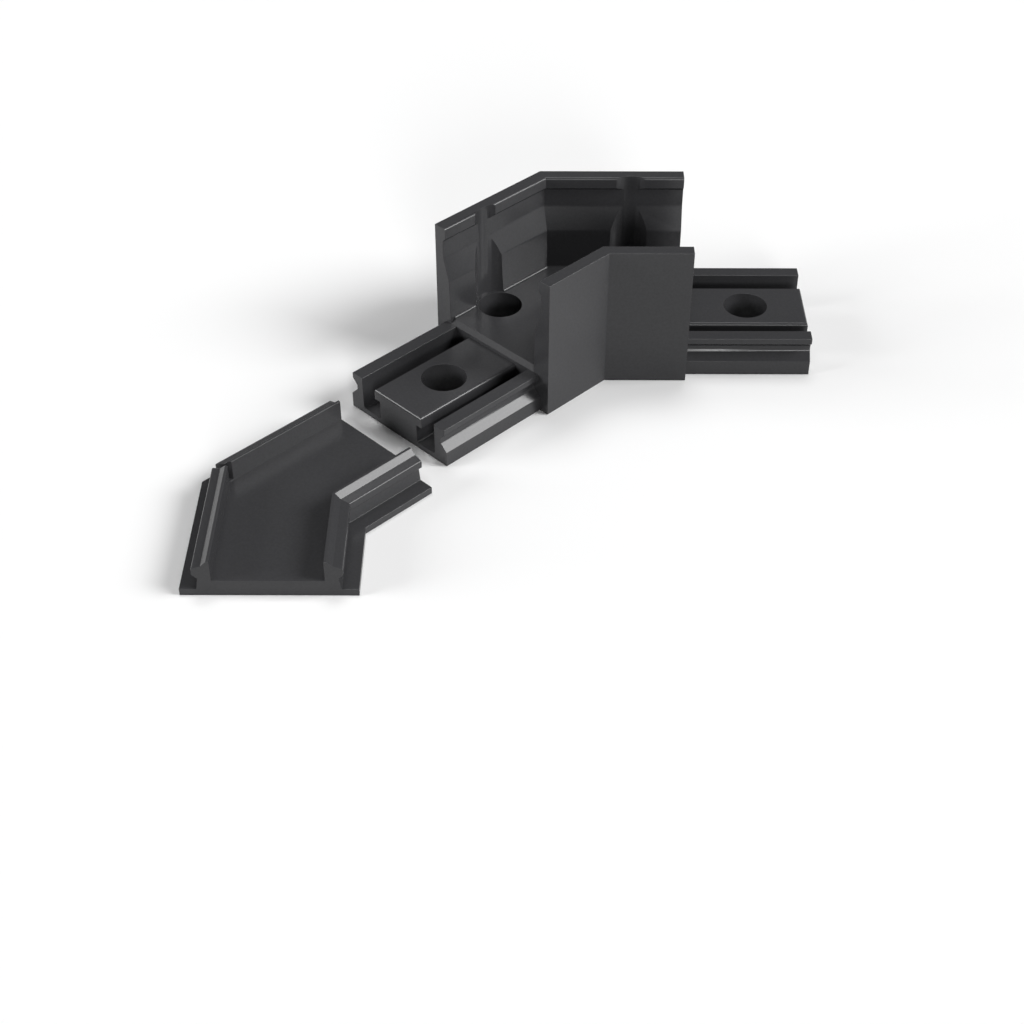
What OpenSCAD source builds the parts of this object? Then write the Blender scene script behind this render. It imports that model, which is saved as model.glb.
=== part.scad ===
// Corner connector for a square cable trough, with its snap-in cover.
// Two arms of a U-shaped trough meet at a mitred bend, and a slotted tongue runs out of each mouth.
// The cover lies beside it on the same surface, legs up, in line with one of the tongues.
// The arms' centre lines cross at the origin, on the underside. One arm runs along +X.
// The other arm is its mirror image in the mitre plane. All sizes are in millimetres.

/* [Bend] */
// Angle between the two arms
bend_angle = 135; // [110:1:160]
// Length of each arm, from the bend to its mouth
arm_len = 21.8; // [19:0.1:60]

/* [Trough] */
// Outer width of the trough
trough_w = 30; // [28:0.5:40]
// Height of the rim above the underside
rim_h = 28.5; // [24:0.5:45]
// Wall thickness at the floor
foot_wall = 3.8; // [3:0.1:4.4]
// Wall thickness at the shoulder, a little less for draft
shoulder_wall = 3.55; // [2.8:0.05:4]
// Wall thickness in the recess that takes the cover's legs
recess_wall = 2.1; // [1.6:0.1:2.6]
// Height of the slope from the recess down to the shoulder
shoulder_slope_h = 4.8; // [3:0.1:6]
// How far the snap bead stands in from the recess
bead_reach = 0.7; // [0.5:0.05:0.9]
// Height of the snap bead, from the rim to its lower edge
bead_h = 2.2; // [1.6:0.1:2.6]
// Radius that leads the cover's legs past the bead
bead_lead_r = 0.5; // [0.3:0.05:0.8]
// How far the floor stands above the tongues' rails, with a bevel of that size at the mouth
floor_rise = 0.85; // [0.5:0.05:2]

/* [Tongues] */
// How far each tongue stands out of its mouth
tongue_len = 24; // [20:0.5:60]
// How far a tongue's side stands in from the trough's side
tongue_inset = 2.05; // [1.8:0.05:2.6]
// Thickness of the slab under the slots
slab_t = 1.2; // [0.8:0.1:1.8]
// Thickness of a side rail below its notch
rail_t = 3.2; // [2.8:0.1:3.8]
// Height of the side rails
rail_h = 7.95; // [7.5:0.05:9]
// How far the rail's top lip stands in from the side below the notch
lip_inset = 0.45; // [0.2:0.05:0.7]
// Height of the rail's top lip
lip_h = 1.15; // [0.8:0.05:1.5]
// Height of the side below the notch
notch_z = 3.05; // [2.6:0.05:3.4]
// Depth of the side notch, which has 45 degree flanks
notch_depth = 1.6; // [1.2:0.05:1.8]
// Width of the steeper facet in the notch's lower corner
notch_facet = 0.45; // [0.2:0.05:0.7]
// Lean of that facet from the upright
facet_lean = 30; // [20:1:40]
// How far the centre strip lies below the rails' tops
strip_drop = 0.65; // [0.3:0.05:1.2]
// How far the strip's head overhangs its core
head_over = 1.4; // [0.8:0.1:1.8]
// Thickness of the strip's head
head_t = 2.3; // [1.6:0.1:3]
// Radius of the strip's upper edges, at its sides and its end
head_r = 0.6; // [0.2:0.05:0.8]

/* [Screw holes] */
// Diameter of the screw holes
hole_d = 8.5; // [6:0.1:9]
// Wall between a tongue's hole and the side of the strip's core
core_wall = 0.75; // [0.6:0.05:1.2]
// Distance of a tongue's hole from the mouth
tongue_hole_out = 12.4; // [8:0.1:14]
// Distance of a floor hole from the mouth
floor_hole_in = 10.4; // [8:0.1:12]
// Distance of a floor hole's centre from the foot of the wall at the outside of the bend
floor_hole_off_wall = 2.9; // [2.6:0.1:6]
// Extra radius of the half-round relief in the wall above a floor hole
relief_clear = 0.5; // [0.2:0.05:0.8]

/* [Cover] */
// Thickness of the flange that lies on the rim
flange_t = 1.4; // [1:0.1:2]
// Thickness of the plate between the legs
plate_t = 3.3; // [2.4:0.1:3.6]
// Height of the legs above the flange
leg_h = 6; // [5.6:0.1:6.6]
// Thickness of a leg
leg_t = 2.65; // [2.3:0.05:3]
// Clearance between a leg and the bead
leg_clear = 0.15; // [0.05:0.05:0.3]
// How far a leg's outer side leans in, from its foot to the catch
neck_depth = 0.35; // [0.2:0.05:0.5]
// How far the hook reaches behind the bead
hook_bite = 0.35; // [0.2:0.05:0.5]
// Play between the hook and the bead when the cover is on
catch_play = 0.1; // [0.05:0.05:0.4]
// Height of the hook's upright nose
nose_h = 1.4; // [1:0.05:1.6]
// Radius that leads the nose past the bead
nose_r = 0.4; // [0.2:0.05:0.6]
// Height of the slope at a leg's tip
tip_slope_h = 1; // [0.6:0.1:1.2]
// Width of the flat tip of a leg
tip_flat = 0.5; // [0.4:0.05:0.8]
// Room under the legs in the recess when the cover is on
leg_room = 0.5; // [0.3:0.1:1]
// Width of the slit that parts the two outer legs at the bend
slit_w = 1.2; // [0.8:0.1:2]
// Height of the web left between the legs at the slit's foot
slit_foot = 0.3; // [0.2:0.1:1]
// Gap between the tongue's end and the cover as it lies
cover_gap = 7; // [2:0.5:60]
// How far the cover lies to the side of the tongue's line
cover_side = 1.6; // [-10:0.1:10]

/* [Rounding] */
// Radius of the small outer edges
fine_r = 0.1; // [0.05:0.05:0.35]
// Radius of the upper corner of the side notch
notch_r = 0.4; // [0.2:0.05:0.6]
// Radius of the fillets at the foot of the walls and in the slots
foot_r = 0.5; // [0.2:0.05:0.7]
// Radius of the soft bends of the shoulder
shoulder_r = 2; // [1:0.1:4]

/* [Hidden] */
$fn = 64;

arc_steps = 4;
plastic = "#3b3c40";
past = 1;
mitre = (180 - bend_angle) / 2;
half_w = trough_w / 2;
tip_x = arm_len + tongue_len;
reach = 4 * (tip_x + trough_w);

foot_half = half_w - foot_wall;
shoulder_half = half_w - shoulder_wall;
recess_half = half_w - recess_wall;
bead_half = recess_half - bead_reach;
bead_z = rim_h - bead_h;
recess_z = rim_h - leg_h - leg_room;
shoulder_z = recess_z - shoulder_slope_h;
floor_z = rail_h + floor_rise;

tongue_half = half_w - tongue_inset;
rail_in = tongue_half - rail_t;
notch_half = tongue_half - notch_depth;
facet_in = notch_facet * sin(facet_lean);
facet_z = notch_z + notch_depth - facet_in;
lip_half = tongue_half - lip_inset;
lip_z = rail_h - lip_h;
hole_r = hole_d / 2;
core_half = hole_r + core_wall;
head_half = core_half + head_over;
strip_z = rail_h - strip_drop;
head_z = strip_z - head_t;
slot_mid = (head_half + rail_in) / 2;

leg_half = bead_half - leg_clear;
leg_in = leg_half - leg_t;
neck_half = leg_half - neck_depth;
hook_half = bead_half + hook_bite;
catch_z = flange_t + bead_h + catch_play;
nose_z = catch_z + hook_half - neck_half;
tip_z = flange_t + leg_h;
slit_z = plate_t + slit_foot;
slit_start = (leg_in - slit_w) / cos(mitre);

tongue_way = [cos(bend_angle), -sin(bend_angle), 0];
side_way = [sin(bend_angle), cos(bend_angle), 0];
cover_place = (tip_x + cover_gap + arm_len) * tongue_way + cover_side * side_way;
cover_turn = 180 - bend_angle;

function unit(v) = v / norm(v);

// The arc of radius r that rounds the corner at a point, which stays sharp for a radius of 0
function corner_arc(before, at, after, r) =
    r == 0 ? [at] : let (
        a = unit(before - at),
        b = unit(after - at),
        half = acos(a * b) / 2,
        sweep = 180 - 2 * half,
        centre = unit(a + b) * r / sin(half),
        first = a * r / tan(half) - centre,
        last = b * r / tan(half) - centre
    )
    [for (i = [0:arc_steps])
        let (turn = sweep * i / arc_steps)
        at + centre + (first * sin(sweep - turn) + last * sin(turn)) / sin(sweep)];

// An outline whose corners are given as [x, y, radius]
function rounded(corners) =
    let (n = len(corners), points = [for (c = corners) [c.x, c.y]])
    [for (i = [0:n - 1])
        each corner_arc(points[(i + n - 1) % n], points[i], points[(i + 1) % n], corners[i].z)];

// A whole outline from the corners of its right half, listed from the bottom upwards
function both_sides(half) =
    rounded(concat(half, [for (i = [len(half) - 1:-1:0]) [-half[i].x, half[i].y, half[i].z]]));

// The trough: drafted walls, a recess for the cover's legs and a snap bead at the rim
module trough_section() {
    polygon(both_sides([
        [half_w, 0, fine_r],
        [half_w, rim_h, fine_r],
        [bead_half, rim_h, bead_lead_r],
        [bead_half, bead_z, fine_r],
        [recess_half, bead_z - bead_reach, fine_r],
        [recess_half, recess_z, shoulder_r],
        [shoulder_half, shoulder_z, shoulder_r],
        [foot_half, floor_z, foot_r]
    ]));
}

// The tongue: a T-shaped strip between two notched rails, on a thin slab
module tongue_section() {
    polygon(both_sides([
        [tongue_half, 0, fine_r],
        [tongue_half, notch_z, fine_r],
        [notch_half + facet_in, facet_z, 0],
        [notch_half, facet_z + notch_facet * cos(facet_lean), 0],
        [notch_half, lip_z - notch_depth + lip_inset, notch_r],
        [lip_half, lip_z, fine_r],
        [lip_half, rail_h, fine_r],
        [rail_in, rail_h, fine_r],
        [rail_in, slab_t, foot_r],
        [core_half, slab_t, foot_r],
        [core_half, head_z, fine_r],
        [head_half, head_z, fine_r],
        [head_half, strip_z, head_r]
    ]));
}

// The cover as it lies: a flange at each side, and a hooked leg along each edge of the plate
module cover_section() {
    polygon(both_sides([
        [half_w, 0, fine_r],
        [half_w, flange_t, fine_r],
        [leg_half, flange_t, fine_r],
        [neck_half, catch_z, fine_r],
        [hook_half, nose_z, fine_r],
        [hook_half, nose_z + nose_h, nose_r],
        [leg_in + tip_flat + tip_slope_h, tip_z - tip_slope_h, fine_r],
        [leg_in + tip_flat, tip_z, fine_r],
        [leg_in, tip_z, fine_r],
        [leg_in, plate_t, 0]
    ]));
}

// A section drawn out along the X axis
module along_x(from, to) {
    translate([from, 0, 0])
        rotate([90, 0, 90])
            linear_extrude(to - from)
                children();
}

// The children in place, and mirrored across the mitre plane
module on_both_arms() {
    rotate([0, 0, mitre]) {
        rotate([0, 0, -mitre])
            children();
        mirror([1, 0, 0])
            rotate([0, 0, -mitre])
                children();
    }
}

// One arm of a section, cut off at the mitre plane, which is turned to stand on X = 0
module mitred_arm() {
    intersection() {
        rotate([0, 0, -mitre])
            along_x(-trough_w, arm_len)
                children();
        translate([0, -reach / 2, -past])
            cube([reach, reach, rim_h + 2 * past]);
    }
}

// A section run round the bend from mouth to mouth
module round_the_bend() {
    rotate([0, 0, mitre]) {
        mitred_arm()
            children();
        mirror([1, 0, 0])
            mitred_arm()
                children();
    }
}

// The bevel where the trough's floor drops to the tongue
module mouth_bevel() {
    translate([arm_len, foot_half, floor_z])
        rotate([90, 0, 0])
            linear_extrude(2 * foot_half)
                polygon([[-floor_rise - past, past], [past, past], [0, -floor_rise]]);
}

// The round along the end of a tongue's strip, from slot to slot
module strip_end_round() {
    end = [tip_x, strip_z];
    translate([0, slot_mid, 0])
        rotate([90, 0, 0])
            linear_extrude(2 * slot_mid)
                polygon(concat(
                    corner_arc(end - [past, 0], end, end - [0, past], head_r),
                    [end + [past, -head_r], end + [past, past], end + [-head_r, past]]
                ));
}

// A screw hole through a tongue's strip
module tongue_hole() {
    translate([arm_len + tongue_hole_out, 0, -past])
        cylinder(r = hole_r, h = strip_z + 2 * past);
}

// A screw hole through the floor, with a half-round relief up the wall for the screw's head
module floor_hole() {
    translate([arm_len - floor_hole_in, foot_half - floor_hole_off_wall, 0]) {
        translate([0, 0, -past])
            cylinder(r = hole_r, h = floor_z + 2 * past);
        translate([0, 0, floor_z])
            cylinder(r = hole_r + relief_clear, h = rim_h - floor_z + past);
    }
}

// The slit that parts the two outer legs at the bend
module corner_slit() {
    rotate([0, 0, mitre])
        translate([-slit_w / 2, slit_start, slit_z])
            cube([slit_w, trough_w, tip_z]);
}

module connector_body() {
    color(plastic)
        difference() {
            union() {
                round_the_bend()
                    trough_section();
                on_both_arms()
                    along_x(arm_len - past, tip_x)
                        tongue_section();
            }
            on_both_arms() {
                mouth_bevel();
                strip_end_round();
                tongue_hole();
                floor_hole();
            }
        }
}

module snap_cover() {
    color(plastic)
        translate(cover_place)
            rotate([0, 0, cover_turn])
                difference() {
                    round_the_bend()
                        cover_section();
                    corner_slit();
                }
}

connector_body();
snap_cover();
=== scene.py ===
"""Dresses the corner connector and its snap-in cover for a studio picture.

Each piece is a copy of its solid with softened edges and a moulded plastic finish.
"""

import math

import bmesh
import bpy
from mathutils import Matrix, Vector


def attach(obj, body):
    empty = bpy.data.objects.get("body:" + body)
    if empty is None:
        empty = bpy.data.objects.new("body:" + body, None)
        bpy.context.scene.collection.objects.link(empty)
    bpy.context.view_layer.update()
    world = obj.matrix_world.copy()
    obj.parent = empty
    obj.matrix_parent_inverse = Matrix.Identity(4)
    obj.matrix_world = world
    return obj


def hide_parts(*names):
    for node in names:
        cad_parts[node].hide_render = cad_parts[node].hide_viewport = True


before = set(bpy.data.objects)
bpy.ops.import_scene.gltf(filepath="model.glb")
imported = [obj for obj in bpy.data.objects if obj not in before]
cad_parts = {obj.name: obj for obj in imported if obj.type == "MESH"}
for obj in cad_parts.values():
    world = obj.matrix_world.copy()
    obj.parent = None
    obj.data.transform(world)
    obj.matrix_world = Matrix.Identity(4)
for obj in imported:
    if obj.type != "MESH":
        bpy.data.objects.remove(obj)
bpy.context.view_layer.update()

bl_info = {
    "name": "Corner connector",
    "version": (1, 0, 0),
    "blender": (4, 5, 0),
    "location": "View3D > Sidebar > Corner connector",
    "description": "Dresses a cable trough's corner connector and its cover",
    "category": "Object",
}

BODY = "root"
# Where the plastic's pattern starts on each piece, so that no two share it
BODY_SHIFT = (0.0, 0.0, 0.0)
COVER_SHIFT = (0.31, 0.17, 0.05)


class PlasticFinish(bpy.types.PropertyGroup):
    """How the moulded plastic looks."""

    deep_color: bpy.props.FloatVectorProperty(
        name="Deep colour",
        description="The darker of the two tones in the plastic's grain",
        subtype="COLOR",
        min=0.0,
        max=1.0,
        default=(0.0400, 0.0400, 0.0423),
    )
    pale_color: bpy.props.FloatVectorProperty(
        name="Pale colour",
        description="The paler of the two tones in the plastic's grain",
        subtype="COLOR",
        min=0.0,
        max=1.0,
        default=(0.0525, 0.0525, 0.0556),
    )
    gloss_roughness: bpy.props.FloatProperty(
        name="Gloss roughness",
        description="Roughness of the plastic where it is most polished",
        min=0.0,
        max=1.0,
        default=0.225,
    )
    dull_roughness: bpy.props.FloatProperty(
        name="Dull roughness",
        description="Roughness of the plastic where it is dullest",
        min=0.0,
        max=1.0,
        default=0.265,
    )
    shine: bpy.props.FloatProperty(
        name="Shine",
        description="Strength of the plastic's reflections, 0.5 for the plain strength",
        min=0.0,
        max=1.0,
        default=0.33,
    )
    drift_size: bpy.props.FloatProperty(
        name="Drift size",
        description="Distance over which the gloss drifts",
        unit="LENGTH",
        default=0.014,
    )
    grain_size: bpy.props.FloatProperty(
        name="Grain size",
        description="Size of the fine grain that the mould leaves",
        unit="LENGTH",
        default=0.00045,
    )
    grain_depth: bpy.props.FloatProperty(
        name="Grain depth",
        description="Depth of the fine grain",
        unit="LENGTH",
        default=0.000006,
    )


class PieceEdges(bpy.types.PropertyGroup):
    """How the pieces' edges are softened."""

    radius: bpy.props.FloatProperty(
        name="Edge radius",
        description="Radius of the softened edges",
        unit="LENGTH",
        default=0.00008,
    )
    segments: bpy.props.IntProperty(
        name="Edge segments",
        description="Number of faces across a softened edge",
        min=1,
        max=6,
        default=2,
    )
    crease_angle: bpy.props.FloatProperty(
        name="Crease angle",
        description="Edges that turn by more than this are shaded as creases",
        unit="ROTATION",
        default=math.radians(28),
    )
    facet_angle: bpy.props.FloatProperty(
        name="Facet angle",
        description="Edges between wide faces are shaded as creases if they turn by more than this",
        unit="ROTATION",
        default=math.radians(10),
    )
    facet_width: bpy.props.FloatProperty(
        name="Facet width",
        description="Faces narrower than this are taken as part of a rounded edge",
        unit="LENGTH",
        default=0.0003,
    )
    mitre_angle: bpy.props.FloatProperty(
        name="Mitre angle",
        description="Faces that are turned about the upright by more than this meet in a crease",
        unit="ROTATION",
        default=math.radians(40),
    )
    sharp_angle: bpy.props.FloatProperty(
        name="Sharp angle",
        description="Edges that turn by more than this are softened",
        unit="ROTATION",
        default=math.radians(50),
    )


class StudioStage(bpy.types.PropertyGroup):
    """Camera, floor and light."""

    camera_place: bpy.props.FloatVectorProperty(
        name="Camera place",
        description="Where the camera stands",
        subtype="TRANSLATION",
        unit="LENGTH",
        default=(-0.0104, -0.2873, 0.19927),
    )
    camera_dip: bpy.props.FloatProperty(
        name="Camera dip",
        description="How far the camera looks down",
        unit="ROTATION",
        default=math.radians(40.52),
    )
    camera_yaw: bpy.props.FloatProperty(
        name="Camera yaw",
        description="How far the camera turns towards +X",
        unit="ROTATION",
        default=math.radians(-0.241),
    )
    camera_lens: bpy.props.FloatProperty(
        name="Camera lens",
        description="Focal length in millimetres on a 36 mm sensor",
        default=61.37,
    )
    floor_color: bpy.props.FloatVectorProperty(
        name="Floor colour",
        description="Colour of the floor",
        subtype="COLOR",
        min=0.0,
        max=1.0,
        default=(0.94, 0.94, 0.94),
    )
    bounce_color: bpy.props.FloatVectorProperty(
        name="Bounce colour",
        description="Colour of the floor in the light that it throws back onto the pieces",
        subtype="COLOR",
        min=0.0,
        max=1.0,
        default=(0.35, 0.35, 0.35),
    )
    sky_level: bpy.props.FloatProperty(
        name="Sky level",
        description="Strength of the even light from all round",
        default=0.06,
    )
    lamp_spread: bpy.props.FloatProperty(
        name="Lamp spread",
        description="How wide each lamp looks from the pieces",
        unit="ROTATION",
        default=math.radians(28),
    )
    key_way: bpy.props.FloatVectorProperty(
        name="Way to the key lamp",
        description="Direction from the pieces to the key lamp at the right",
        subtype="DIRECTION",
        default=(0.799, -0.098, 0.593),
    )
    key_strength: bpy.props.FloatProperty(
        name="Key lamp strength",
        description="Strength of the key lamp",
        default=2.7,
    )
    side_way: bpy.props.FloatVectorProperty(
        name="Way to the side lamp",
        description="Direction from the pieces to the lamp at the left",
        subtype="DIRECTION",
        default=(-0.94, -0.14, 0.31),
    )
    side_strength: bpy.props.FloatProperty(
        name="Side lamp strength",
        description="Strength of the lamp at the left",
        default=1.9,
    )
    front_way: bpy.props.FloatVectorProperty(
        name="Way to the front lamp",
        description="Direction from the pieces to the low lamp in front",
        subtype="DIRECTION",
        default=(0.15, -0.94, 0.31),
    )
    front_spread: bpy.props.FloatProperty(
        name="Front lamp spread",
        description="How wide the lamp in front looks from the pieces",
        unit="ROTATION",
        default=math.radians(14),
    )
    front_strength: bpy.props.FloatProperty(
        name="Front lamp strength",
        description="Strength of the lamp in front",
        default=0.9,
    )
    top_way: bpy.props.FloatVectorProperty(
        name="Way to the top lamp",
        description="Direction from the pieces to the lamp overhead, a little behind them",
        subtype="DIRECTION",
        default=(0.0, 0.31, 0.95),
    )
    top_strength: bpy.props.FloatProperty(
        name="Top lamp strength",
        description="Strength of the lamp overhead",
        default=0.75,
    )


class ConnectorSettings(bpy.types.PropertyGroup):
    """All that a user would change."""

    plastic: bpy.props.PointerProperty(type=PlasticFinish)
    edges: bpy.props.PointerProperty(type=PieceEdges)
    stage: bpy.props.PointerProperty(type=StudioStage)


def new_group(name, inputs, outputs):
    """A shader node group with the named sockets, and its input and output nodes."""
    aside = 600
    group = bpy.data.node_groups.new(name, "ShaderNodeTree")
    for label, kind in inputs:
        group.interface.new_socket(label, in_out="INPUT", socket_type=kind)
    for label, kind in outputs:
        group.interface.new_socket(label, in_out="OUTPUT", socket_type=kind)
    entry = group.nodes.new("NodeGroupInput")
    leave = group.nodes.new("NodeGroupOutput")
    entry.location = (-aside, 0)
    leave.location = (aside, 0)
    return group, entry, leave


def moulding_drift_group():
    """Slow drift of the gloss, as a mould leaves it: 0 to 1."""
    soft_low, soft_high = 0.25, 0.75
    found = bpy.data.node_groups.get("moulding_drift")
    if found:
        return found
    group, entry, leave = new_group(
        "moulding_drift",
        [("Vector", "NodeSocketVector"), ("Scale", "NodeSocketFloat")],
        [("Drift", "NodeSocketFloat")],
    )
    cloud = group.nodes.new("ShaderNodeTexNoise")
    cloud.inputs["Detail"].default_value = 1.0
    spread = group.nodes.new("ShaderNodeMapRange")
    spread.interpolation_type = "SMOOTHSTEP"
    spread.inputs["From Min"].default_value = soft_low
    spread.inputs["From Max"].default_value = soft_high
    group.links.new(entry.outputs["Vector"], cloud.inputs["Vector"])
    group.links.new(entry.outputs["Scale"], cloud.inputs["Scale"])
    group.links.new(cloud.outputs["Fac"], spread.inputs["Value"])
    group.links.new(spread.outputs["Result"], leave.inputs["Drift"])
    return group


def mould_grain_group():
    """The fine grain of the mould's surface, as a height from 0 to 1."""
    found = bpy.data.node_groups.get("mould_grain")
    if found:
        return found
    group, entry, leave = new_group(
        "mould_grain",
        [("Vector", "NodeSocketVector"), ("Scale", "NodeSocketFloat")],
        [("Height", "NodeSocketFloat")],
    )
    grain = group.nodes.new("ShaderNodeTexNoise")
    grain.inputs["Detail"].default_value = 2.0
    group.links.new(entry.outputs["Vector"], grain.inputs["Vector"])
    group.links.new(entry.outputs["Scale"], grain.inputs["Scale"])
    group.links.new(grain.outputs["Fac"], leave.inputs["Height"])
    return group


def plastic_material(name, finish, shift):
    """Dark moulded plastic, whose pattern starts at shift."""
    plastic_ior = 1.5
    material = bpy.data.materials.new(name)
    material.use_nodes = True
    nodes = material.node_tree.nodes
    links = material.node_tree.links
    shader = nodes["Principled BSDF"]
    shader.inputs["IOR"].default_value = plastic_ior
    shader.inputs["Specular IOR Level"].default_value = finish.shine
    place = nodes.new("ShaderNodeTexCoord")
    moved = nodes.new("ShaderNodeMapping")
    moved.inputs["Location"].default_value = shift
    links.new(place.outputs["Object"], moved.inputs["Vector"])

    drift = nodes.new("ShaderNodeGroup")
    drift.node_tree = moulding_drift_group()
    drift.inputs["Scale"].default_value = 1.0 / finish.drift_size
    links.new(moved.outputs["Vector"], drift.inputs["Vector"])
    gloss = nodes.new("ShaderNodeMapRange")
    gloss.inputs["To Min"].default_value = finish.gloss_roughness
    gloss.inputs["To Max"].default_value = finish.dull_roughness
    links.new(drift.outputs["Drift"], gloss.inputs["Value"])
    links.new(gloss.outputs["Result"], shader.inputs["Roughness"])

    grain = nodes.new("ShaderNodeGroup")
    grain.node_tree = mould_grain_group()
    grain.inputs["Scale"].default_value = 1.0 / finish.grain_size
    links.new(moved.outputs["Vector"], grain.inputs["Vector"])
    tone = nodes.new("ShaderNodeMix")
    tone.data_type = "RGBA"
    tone.inputs["A"].default_value = (*finish.deep_color, 1.0)
    tone.inputs["B"].default_value = (*finish.pale_color, 1.0)
    links.new(grain.outputs["Height"], tone.inputs["Factor"])
    links.new(tone.outputs["Result"], shader.inputs["Base Color"])
    bump = nodes.new("ShaderNodeBump")
    bump.inputs["Distance"].default_value = finish.grain_depth
    links.new(grain.outputs["Height"], bump.inputs["Height"])
    links.new(bump.outputs["Normal"], shader.inputs["Normal"])
    return material


def is_hole_side(face):
    """Whether a face is one of the narrow upright faces that make a screw hole round."""
    widest = 0.0012
    upright = 0.001
    levels = [corner.co.z for corner in face.verts]
    height = max(levels) - min(levels)
    return abs(face.normal.z) < upright and face.calc_area() < widest * height


def is_outer_edge(edge, sharp_angle):
    """Whether an edge is sharp and stands out. A hole has such edges only on level faces."""
    level = 0.99
    if len(edge.link_faces) != 2 or not edge.is_convex or edge.calc_face_angle() < sharp_angle:
        return False
    if any(is_hole_side(face) for face in edge.link_faces):
        return any(abs(face.normal.z) > level for face in edge.link_faces)
    return True


def face_width(face):
    """The width of a long face."""
    return face.calc_area() / max(edge.calc_length() for edge in face.edges)


def is_crease(edge, edges):
    """Whether the shading breaks at an edge: at a sharp one, between flat faces and at a mitre."""
    level = 0.03
    if len(edge.link_faces) != 2 or edge.calc_face_angle() > edges.crease_angle:
        return True
    is_wide = all(face_width(face) > edges.facet_width for face in edge.link_faces)
    if is_wide and edge.calc_face_angle() > edges.facet_angle:
        return True
    headings = [face.normal.to_2d() for face in edge.link_faces]
    if min(heading.length for heading in headings) < level:
        return False
    return headings[0].angle(headings[1]) > edges.mitre_angle


def flat_faced_shape(node):
    """A copy of a solid's mesh, with its loose triangles joined into flat faces."""
    merge_distance = 1e-7
    flat_angle = math.radians(0.2)
    shape = bmesh.new()
    shape.from_mesh(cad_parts[node].data)
    bmesh.ops.remove_doubles(shape, verts=shape.verts, dist=merge_distance)
    bmesh.ops.dissolve_limit(
        shape,
        angle_limit=flat_angle,
        use_dissolve_boundaries=False,
        verts=shape.verts,
        edges=shape.edges,
    )
    return shape


def soften_edges(shape, edges):
    """Rounds the sharp outer edges, clears the slivers that this leaves and marks the creases."""
    sliver = 2e-6
    sharp = [edge for edge in shape.edges if is_outer_edge(edge, edges.sharp_angle)]
    if not sharp:
        raise RuntimeError("a solid has no sharp edges to soften")
    bmesh.ops.bevel(
        shape,
        geom=sharp,
        offset=edges.radius,
        offset_type="OFFSET",
        affect="EDGES",
        segments=edges.segments,
        profile=0.5,
        material=-1,
        clamp_overlap=False,
    )
    bmesh.ops.dissolve_degenerate(shape, dist=sliver, edges=shape.edges)
    shape.normal_update()
    for face in shape.faces:
        face.smooth = True
    for edge in shape.edges:
        edge.smooth = not is_crease(edge, edges)


def plastic_piece(settings, node, name, finish_name, shift):
    """A piece with the shape of a solid, softened edges and its own plastic."""
    shape = flat_faced_shape(node)
    soften_edges(shape, settings.edges)
    mesh = bpy.data.meshes.new(name)
    shape.to_mesh(mesh)
    shape.free()
    mesh.materials.append(plastic_material(finish_name, settings.plastic, shift))
    piece = bpy.data.objects.new(name, mesh)
    bpy.context.scene.collection.objects.link(piece)
    even = piece.modifiers.new("Even normals", "WEIGHTED_NORMAL")
    even.keep_sharp = True
    return piece


class CONNECTOR_OT_body(bpy.types.Operator):
    """Makes the connector's body: the bent trough with its tongues"""

    bl_idname = "corner_connector.body"
    bl_label = "Connector body"

    def execute(self, context):
        settings = context.scene.corner_connector
        piece = plastic_piece(settings, "connector_body", "trough_corner", "anthracite_body", BODY_SHIFT)
        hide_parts("connector_body")
        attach(piece, BODY)
        return {"FINISHED"}


class CONNECTOR_OT_cover(bpy.types.Operator):
    """Makes the snap-in cover, which lies beside the body with its legs up"""

    bl_idname = "corner_connector.cover"
    bl_label = "Snap-in cover"

    def execute(self, context):
        settings = context.scene.corner_connector
        piece = plastic_piece(settings, "snap_cover", "trough_cover", "anthracite_cover", COVER_SHIFT)
        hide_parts("snap_cover")
        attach(piece, BODY)
        return {"FINISHED"}


def seen_directly(tree):
    """A node output that is 1 to the camera, in reflections and through glass, and 0 otherwise."""
    path = tree.nodes.new("ShaderNodeLightPath")
    first = tree.nodes.new("ShaderNodeMath")
    first.operation = "MAXIMUM"
    both = tree.nodes.new("ShaderNodeMath")
    both.operation = "MAXIMUM"
    tree.links.new(path.outputs["Is Camera Ray"], first.inputs[0])
    tree.links.new(path.outputs["Is Glossy Ray"], first.inputs[1])
    tree.links.new(first.outputs["Value"], both.inputs[0])
    tree.links.new(path.outputs["Is Transmission Ray"], both.inputs[1])
    return both.outputs["Value"]


def floor_material(stage):
    """White to look at, but throwing only some of the light back onto the pieces."""
    material = bpy.data.materials.new("white_floor")
    material.use_nodes = True
    tree = material.node_tree
    tree.nodes.clear()
    tone = tree.nodes.new("ShaderNodeMix")
    tone.data_type = "RGBA"
    tone.inputs["A"].default_value = (*stage.bounce_color, 1.0)
    tone.inputs["B"].default_value = (*stage.floor_color, 1.0)
    tree.links.new(seen_directly(tree), tone.inputs["Factor"])
    matt = tree.nodes.new("ShaderNodeBsdfDiffuse")
    tree.links.new(tone.outputs["Result"], matt.inputs["Color"])
    output = tree.nodes.new("ShaderNodeOutputMaterial")
    tree.links.new(matt.outputs["BSDF"], output.inputs["Surface"])
    return material


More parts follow.
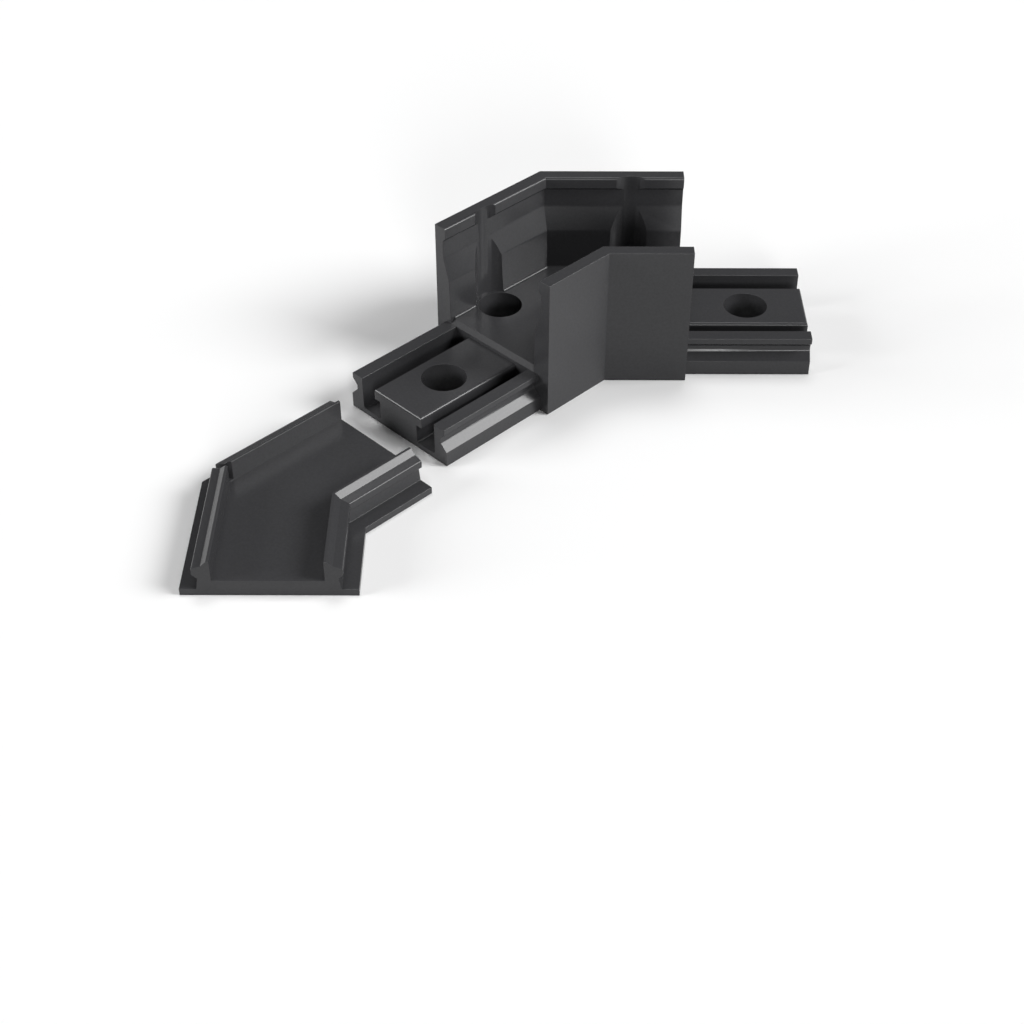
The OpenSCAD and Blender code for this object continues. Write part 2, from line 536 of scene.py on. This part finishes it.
def white_floor(stage):
    """A wide floor just under the pieces, with its rim raised to fill the back of low views."""
    flat_half = 1.0
    rim_half = 3.0
    rim_height = 0.21
    below = 0.00002
    widen = rim_half / flat_half
    shape = bmesh.new()
    bmesh.ops.create_grid(shape, x_segments=1, y_segments=1, size=flat_half)
    outer = bmesh.ops.extrude_edge_only(shape, edges=shape.edges)
    rim = [item for item in outer["geom"] if isinstance(item, bmesh.types.BMVert)]
    bmesh.ops.scale(shape, verts=rim, vec=(widen, widen, 1.0))
    bmesh.ops.translate(shape, verts=rim, vec=(0.0, 0.0, rim_height))
    bmesh.ops.translate(shape, verts=shape.verts, vec=(0.0, 0.0, -below))
    mesh = bpy.data.meshes.new("floor")
    shape.to_mesh(mesh)
    shape.free()
    mesh.materials.append(floor_material(stage))
    floor = bpy.data.objects.new("floor", mesh)
    bpy.context.scene.collection.objects.link(floor)
    return floor


def even_sky(stage):
    """The even light from all round."""
    world = bpy.data.worlds.new("even_sky")
    world.use_nodes = True
    sky = world.node_tree.nodes["Background"]
    sky.inputs["Color"].default_value = (1.0, 1.0, 1.0, 1.0)
    sky.inputs["Strength"].default_value = stage.sky_level
    bpy.context.scene.world = world


def soft_lamp(name, way, spread, strength):
    """A large lamp far away, which lights all of the floor alike. way points from the pieces to it."""
    light = bpy.data.lights.new(name, "SUN")
    light.angle = spread
    light.energy = strength
    lamp = bpy.data.objects.new(name, light)
    lamp.location = Vector(way).normalized()
    lamp.rotation_euler = Vector(way).to_track_quat("Z", "Y").to_euler()
    bpy.context.scene.collection.objects.link(lamp)


def studio_camera(stage):
    """The camera, which looks along +Y when it has no yaw."""
    sensor_width = 36.0
    clip_start = 0.01
    lens = bpy.data.cameras.new("camera")
    lens.lens = stage.camera_lens
    lens.sensor_width = sensor_width
    lens.clip_start = clip_start
    camera = bpy.data.objects.new("camera", lens)
    camera.location = stage.camera_place
    camera.rotation_euler = (math.pi / 2 - stage.camera_dip, 0.0, -stage.camera_yaw)
    bpy.context.scene.collection.objects.link(camera)
    return camera


class CONNECTOR_OT_stage(bpy.types.Operator):
    """Sets up the floor, the light and the camera"""

    bl_idname = "corner_connector.stage"
    bl_label = "Studio stage"

    def execute(self, context):
        stage = context.scene.corner_connector.stage
        white_floor(stage)
        even_sky(stage)
        soft_lamp("key_lamp", stage.key_way, stage.lamp_spread, stage.key_strength)
        soft_lamp("side_lamp", stage.side_way, stage.lamp_spread, stage.side_strength)
        soft_lamp("front_lamp", stage.front_way, stage.front_spread, stage.front_strength)
        soft_lamp("top_lamp", stage.top_way, stage.lamp_spread, stage.top_strength)
        context.scene.camera = studio_camera(stage)
        context.scene.view_settings.view_transform = "Standard"
        return {"FINISHED"}


class CONNECTOR_PT_sidebar(bpy.types.Panel):
    """Lists the connector's pieces and the stage"""

    bl_label = "Corner connector"
    bl_idname = "CONNECTOR_PT_sidebar"
    bl_space_type = "VIEW_3D"
    bl_region_type = "UI"
    bl_category = "Corner connector"

    def draw(self, context):
        settings = context.scene.corner_connector
        for part in ("plastic", "edges", "stage"):
            group = getattr(settings, part)
            box = self.layout.box()
            box.label(text=part.capitalize())
            for name in group.__annotations__:
                box.prop(group, name)
        for operator in (CONNECTOR_OT_body, CONNECTOR_OT_cover, CONNECTOR_OT_stage):
            self.layout.operator(operator.bl_idname)


CLASSES = (
    PlasticFinish,
    PieceEdges,
    StudioStage,
    ConnectorSettings,
    CONNECTOR_OT_body,
    CONNECTOR_OT_cover,
    CONNECTOR_OT_stage,
    CONNECTOR_PT_sidebar,
)


def register():
    """Adds the classes and the scene's settings."""
    for cls in CLASSES:
        bpy.utils.register_class(cls)
    bpy.types.Scene.corner_connector = bpy.props.PointerProperty(type=ConnectorSettings)


def unregister():
    """Takes the classes and the scene's settings away."""
    del bpy.types.Scene.corner_connector
    for cls in reversed(CLASSES):
        bpy.utils.unregister_class(cls)


def main():
    """Makes the pieces and the stage."""
    register()
    bpy.ops.corner_connector.body()
    bpy.ops.corner_connector.cover()
    bpy.ops.corner_connector.stage()
    bpy.context.view_layer.update()


if __name__ == "__main__":
    main()
